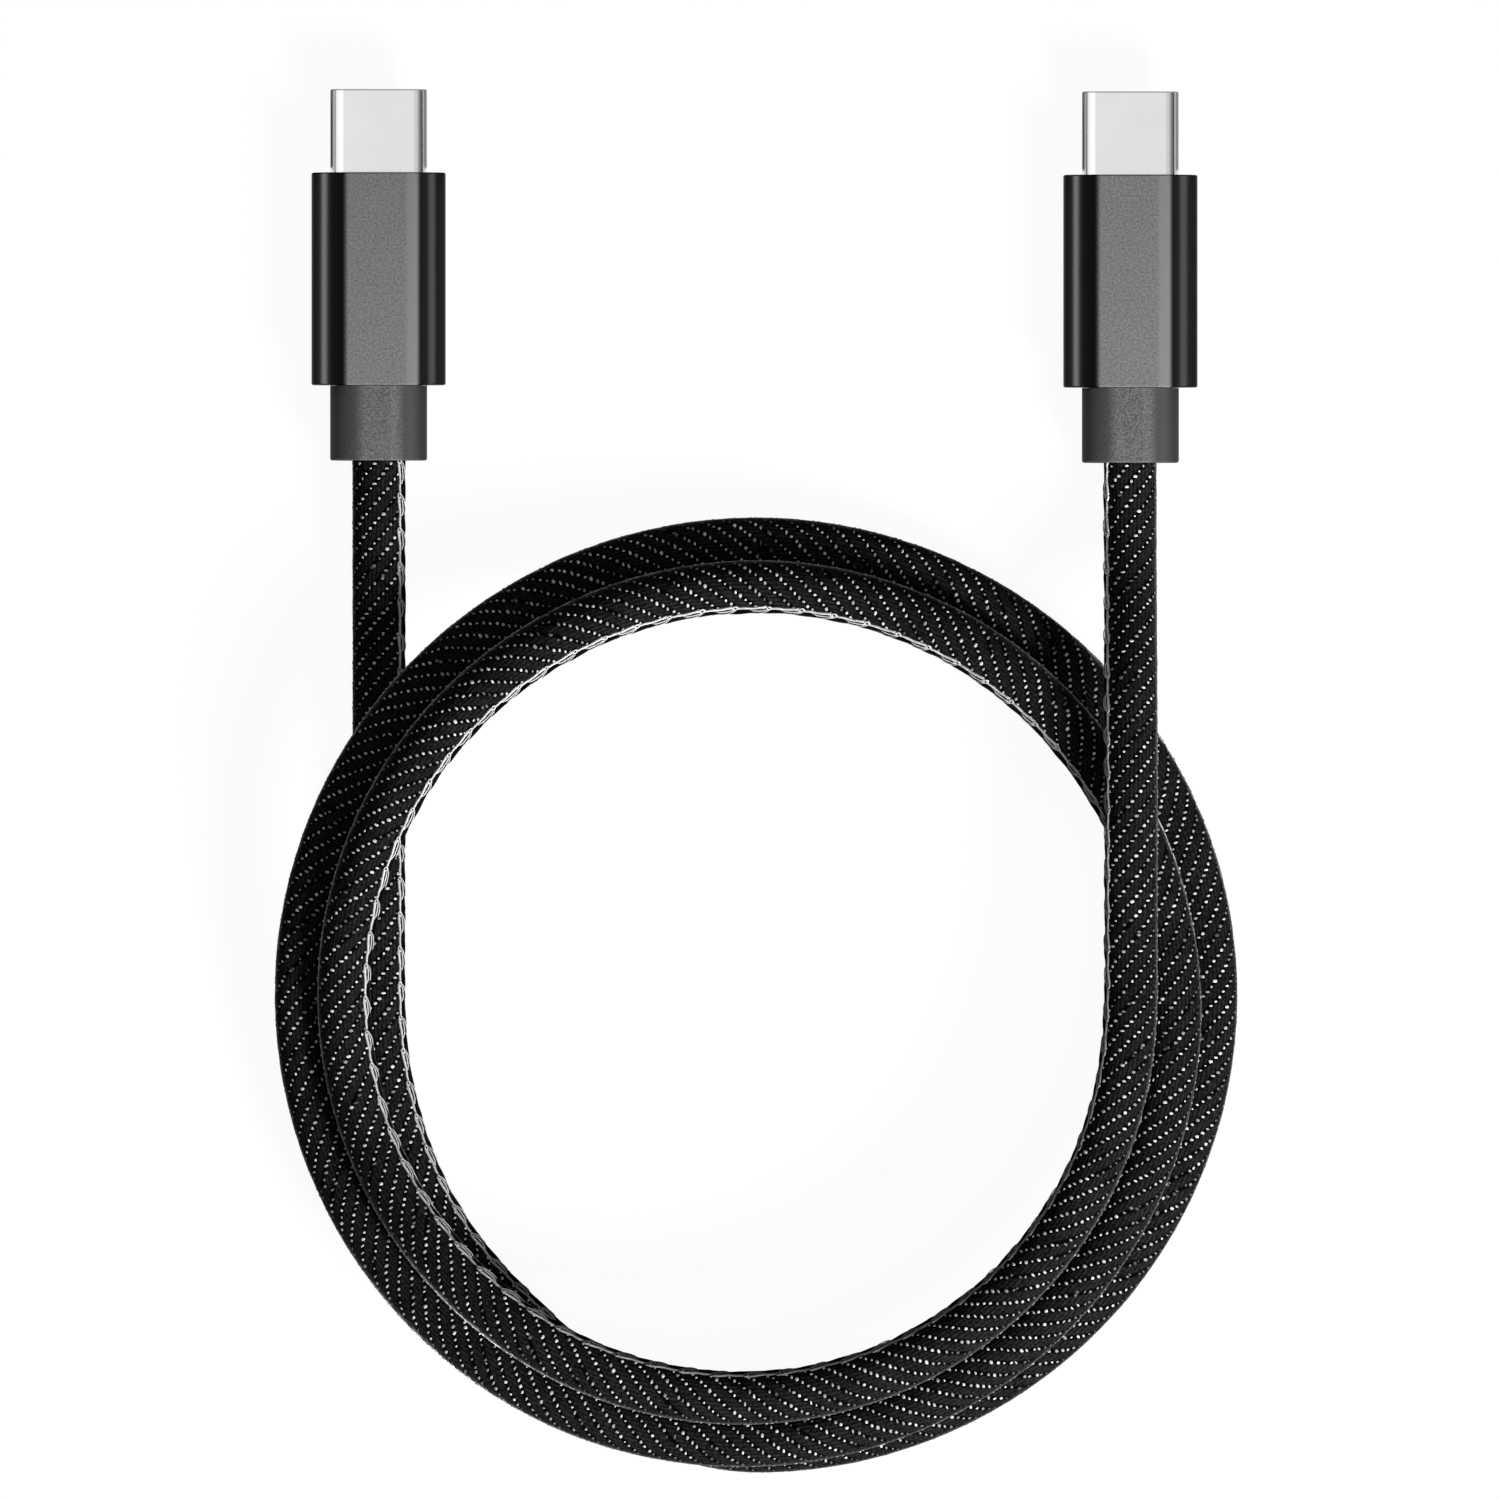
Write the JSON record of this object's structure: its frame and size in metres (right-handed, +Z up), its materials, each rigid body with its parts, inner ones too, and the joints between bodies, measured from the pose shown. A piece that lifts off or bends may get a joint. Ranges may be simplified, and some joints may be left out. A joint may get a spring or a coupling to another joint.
{
  "type": "charging cable",
  "caption": "Short fabric-wrapped charging cable with a metal-cased reversible type-C plug at each end, lying in a loose coil.",
  "frame": {"origin": "on the table the cable lies on, in the middle of the box around the two plugs", "axes": "+X from the left plug to the right plug, +Y along both plugs towards their tips, +Z up from the table"},
  "size_m": [0.0819, 0.1183, 0.0139],
  "materials": {
    "shell_steel": "bright nickel-plated drawn steel, satin flats",
    "spring_steel": "bare stamped stainless steel",
    "contact_gold": "gold-plated copper alloy",
    "housing_aluminium": "dark grey anodised, fine blasted grain",
    "collar": "dark grey soft plastic with a fine grain",
    "black_plastic": "black moulded plastic",
    "inner_mould": "milky moulded plastic",
    "board": "green solder resist",
    "chip": "black epoxy",
    "ceramic": "tan ceramic",
    "denim": "black denim twill with white weft showing, sewn along one side",
    "jacket": "black extruded jacket",
    "wire_red": "red insulation",
    "wire_black": "black insulation",
    "wire_green": "green insulation",
    "wire_white": "white insulation",
    "wire_blue": "blue insulation"
  },
  "bodies": {
    "root": {"left_plug_shell": "shell_steel", "left_contact_block": "black_plastic", "left_upper_contacts": "contact_gold", "left_lower_contacts": "contact_gold", "left_latch_plate": "spring_steel", "left_upper_ground_spring": "spring_steel", "left_lower_ground_spring": "spring_steel", "left_board": "board", "left_marker_chip": "chip", "left_capacitor": "ceramic", "left_resistor": "chip", "left_upper_shield": "spring_steel", "left_lower_shield": "spring_steel", "left_crimp_ring": "spring_steel", "left_inner_mould": "inner_mould", "left_nose_ring": "black_plastic", "left_housing": "housing_aluminium", "left_collar": "collar", "right_plug_shell": "shell_steel", "right_contact_block": "black_plastic", "right_upper_contacts": "contact_gold", "right_lower_contacts": "contact_gold", "right_latch_plate": "spring_steel", "right_upper_ground_spring": "spring_steel", "right_lower_ground_spring": "spring_steel", "right_board": "board", "right_marker_chip": "chip", "right_capacitor": "ceramic", "right_resistor": "chip", "right_upper_shield": "spring_steel", "right_lower_shield": "spring_steel", "right_crimp_ring": "spring_steel", "right_inner_mould": "inner_mould", "right_nose_ring": "black_plastic", "right_housing": "housing_aluminium", "right_collar": "collar", "right_tail_sleeve": "denim", "coil_sleeve": "denim", "left_tail_sleeve": "denim", "cable_jacket": "jacket", "data_wire_plus": "wire_green", "power_wire": "wire_red", "data_wire_minus": "wire_white", "ground_wire": "wire_black", "configuration_wire": "wire_blue"}
  },
  "joints": []
}
